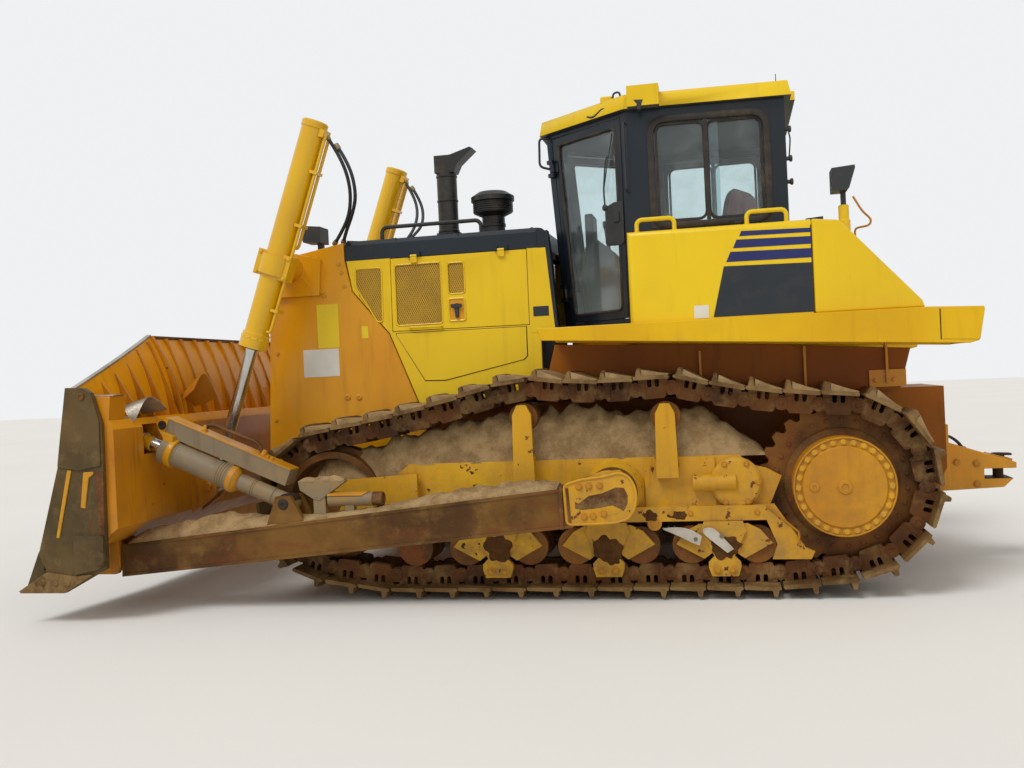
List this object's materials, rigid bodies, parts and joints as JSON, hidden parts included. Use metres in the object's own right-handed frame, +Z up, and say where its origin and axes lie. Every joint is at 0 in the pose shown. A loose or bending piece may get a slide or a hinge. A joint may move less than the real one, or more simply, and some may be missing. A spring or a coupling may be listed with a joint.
{
  "type": "crawler bulldozer",
  "caption": "Crawler bulldozer with a semi-U blade on push arms, lift and tilt cylinders, steel tracks, hood, closed cab, side tanks and a rear drawbar.",
  "frame": {"origin": "on the ground, at the middle of the whole machine's box", "axes": "+X to the rear, from the blade to the drawbar; +Y to the machine's right side; +Z up"},
  "size_m": [6.461, 4.06, 3.359],
  "materials": {
    "hull_paint": "dusty orange-brown paint",
    "engine_iron": "dark oily casting",
    "body_paint": "glossy yellow paint",
    "grille_paint": "yellow paint",
    "dark_paint": "satin blue-black paint",
    "window_glass": "clear, slightly green",
    "seat_fabric": "dusty red cloth",
    "console_plastic": "dark grained plastic",
    "exhaust_black": "heat-dulled black",
    "rail_paint": "yellow paint",
    "lamp_black": "black moulding",
    "track_steel": "rusty worn steel with dried soil",
    "frame_paint": "chipped yellow paint under sand",
    "drive_paint": "dusty yellow paint",
    "arm_steel": "paint worn to brown steel",
    "blade_paint": "deep yellow paint, scuffed",
    "blade_steel": "soil-polished steel",
    "cylinder_paint": "yellow paint",
    "rod_chrome": "dusty chrome",
    "hose_rubber": "black rubber"
  },
  "bodies": {
    "tractor": {"main_frame": "hull_paint", "engine_block": "engine_iron", "radiator": "engine_iron", "radiator_guard": "body_paint", "front_grille": "grille_paint", "hood_top": "dark_paint", "rear_tank": "body_paint", "cab_shell": "dark_paint", "cab_roof": "body_paint", "cab_glass": "window_glass", "seat": "seat_fabric", "console": "console_plastic", "exhaust": "exhaust_black", "precleaner": "exhaust_black", "handrails": "rail_paint", "lamps": "lamp_black", "hitch": "hull_paint", "hood_side_left": "body_paint", "hood_side_right": "body_paint", "fender_left": "body_paint", "fender_right": "body_paint", "side_tank_left": "body_paint", "side_tank_right": "body_paint", "track_left": "track_steel", "track_right": "track_steel", "track_frame_left": "frame_paint", "track_frame_right": "frame_paint", "final_drive_left": "drive_paint", "final_drive_right": "drive_paint", "idler_left": "drive_paint", "idler_right": "drive_paint", "rollers_left": "frame_paint", "rollers_right": "frame_paint", "lift_bracket_left": "cylinder_paint", "lift_bracket_right": "cylinder_paint", "lift_hoses_left": "hose_rubber", "lift_hoses_right": "hose_rubber"},
    "push_frame": {"push_arm_left": "arm_steel", "push_arm_right": "arm_steel"},
    "blade": {"moldboard": "blade_steel", "blade_back": "blade_paint", "blade_ribs": "blade_paint", "cutting_edge": "blade_steel", "end_plates": "blade_steel"},
    "lift_barrel_left": {"lift_barrel_left": "cylinder_paint"},
    "lift_rod_left": {"lift_rod_left": "rod_chrome"},
    "tilt_barrel_left": {"tilt_barrel_left": "cylinder_paint"},
    "tilt_rod_left": {"tilt_rod_left": "rod_chrome"},
    "cab_door_left": {"cab_door_left": "dark_paint", "door_glass_left": "window_glass"},
    "engine_door_left": {"engine_door_left": "body_paint"},
    "lift_barrel_right": {"lift_barrel_right": "cylinder_paint"},
    "lift_rod_right": {"lift_rod_right": "rod_chrome"},
    "tilt_barrel_right": {"tilt_barrel_right": "cylinder_paint"},
    "tilt_rod_right": {"tilt_rod_right": "rod_chrome"},
    "cab_door_right": {"cab_door_right": "dark_paint", "door_glass_right": "window_glass"},
    "engine_door_right": {"engine_door_right": "body_paint"}
  },
  "joints": [
    {"name": "blade_lift", "type": "hinge", "parent": "tractor", "child": "push_frame", "pos_m": [0.5565, 0, 0.692], "axis": [0, 1, 0], "range_deg": [-8, 17.5]},
    {"name": "blade_pitch", "type": "hinge", "parent": "push_frame", "child": "blade", "pos_m": [-2.8005, 0, 0.345], "axis": [0, 1, 0], "range_deg": [-4, 4]},
    {"name": "lift_swing_left", "type": "hinge", "parent": "tractor", "child": "lift_barrel_left", "pos_m": [-1.8405, -0.93, 2.322], "axis": [0, 1, 0], "range_deg": [-4.75, 10.39], "deforming": ["lift_hoses_left"]},
    {"name": "lift_stroke_left", "type": "slide", "parent": "lift_barrel_left", "child": "lift_rod_left", "axis": [-0.3375, 0, -0.9413], "range_m": [-0.8852, 0.4047]},
    {"name": "tilt_swing_left", "type": "hinge", "parent": "push_frame", "child": "tilt_barrel_left", "pos_m": [-1.5555, -1.53, 0.69], "axis": [0, 1, 0], "range_deg": [-0.54, 0.54]},
    {"name": "tilt_stroke_left", "type": "slide", "parent": "tilt_barrel_left", "child": "tilt_rod_left", "axis": [-0.9178, 0, 0.3971], "range_m": [-0.0577, 0.0577]},
    {"name": "lift_swing_right", "type": "hinge", "parent": "tractor", "child": "lift_barrel_right", "pos_m": [-1.8405, 0.93, 2.322], "axis": [0, 1, 0], "range_deg": [-4.75, 10.39], "deforming": ["lift_hoses_right"]},
    {"name": "lift_stroke_right", "type": "slide", "parent": "lift_barrel_right", "child": "lift_rod_right", "axis": [-0.3375, 0, -0.9413], "range_m": [-0.8852, 0.4047]},
    {"name": "tilt_swing_right", "type": "hinge", "parent": "push_frame", "child": "tilt_barrel_right", "pos_m": [-1.5555, 1.53, 0.69], "axis": [0, 1, 0], "range_deg": [-0.54, 0.54]},
    {"name": "tilt_stroke_right", "type": "slide", "parent": "tilt_barrel_right", "child": "tilt_rod_right", "axis": [-0.9178, 0, 0.3971], "range_m": [-0.0577, 0.0577]},
    {"name": "cab_door_hinge_left", "type": "hinge", "parent": "tractor", "child": "cab_door_left", "pos_m": [0.18827, -0.43411, 1.812], "axis": [0.0693, -0.0589, -0.9959], "range_deg": [0, 50]},
    {"name": "engine_door_hinge_left", "type": "hinge", "parent": "tractor", "child": "engine_door_left", "pos_m": [-0.6005, -0.632, 2.358], "axis": [-1, 0, 0], "range_deg": [0, 78]},
    {"name": "cab_door_hinge_right", "type": "hinge", "parent": "tractor", "child": "cab_door_right", "pos_m": [0.18827, 0.43411, 1.812], "axis": [-0.0693, -0.0589, 0.9959], "range_deg": [0, 50]},
    {"name": "engine_door_hinge_right", "type": "hinge", "parent": "tractor", "child": "engine_door_right", "pos_m": [-0.6005, 0.632, 2.358], "axis": [1, 0, 0], "range_deg": [0, 78]}
  ],
  "couplings": [
    {"joint": "lift_swing_left", "follows": "blade_lift", "ratio": 0.5823},
    {"joint": "lift_stroke_left", "follows": "blade_lift", "m_per_rad": -2.8415},
    {"joint": "tilt_swing_left", "follows": "blade_pitch", "ratio": 0.1318},
    {"joint": "tilt_stroke_left", "follows": "blade_pitch", "m_per_rad": -0.8109},
    {"joint": "lift_swing_right", "follows": "blade_lift", "ratio": 0.5823},
    {"joint": "lift_stroke_right", "follows": "blade_lift", "m_per_rad": -2.8415},
    {"joint": "tilt_swing_right", "follows": "blade_pitch", "ratio": 0.1318},
    {"joint": "tilt_stroke_right", "follows": "blade_pitch", "m_per_rad": -0.8109}
  ]
}
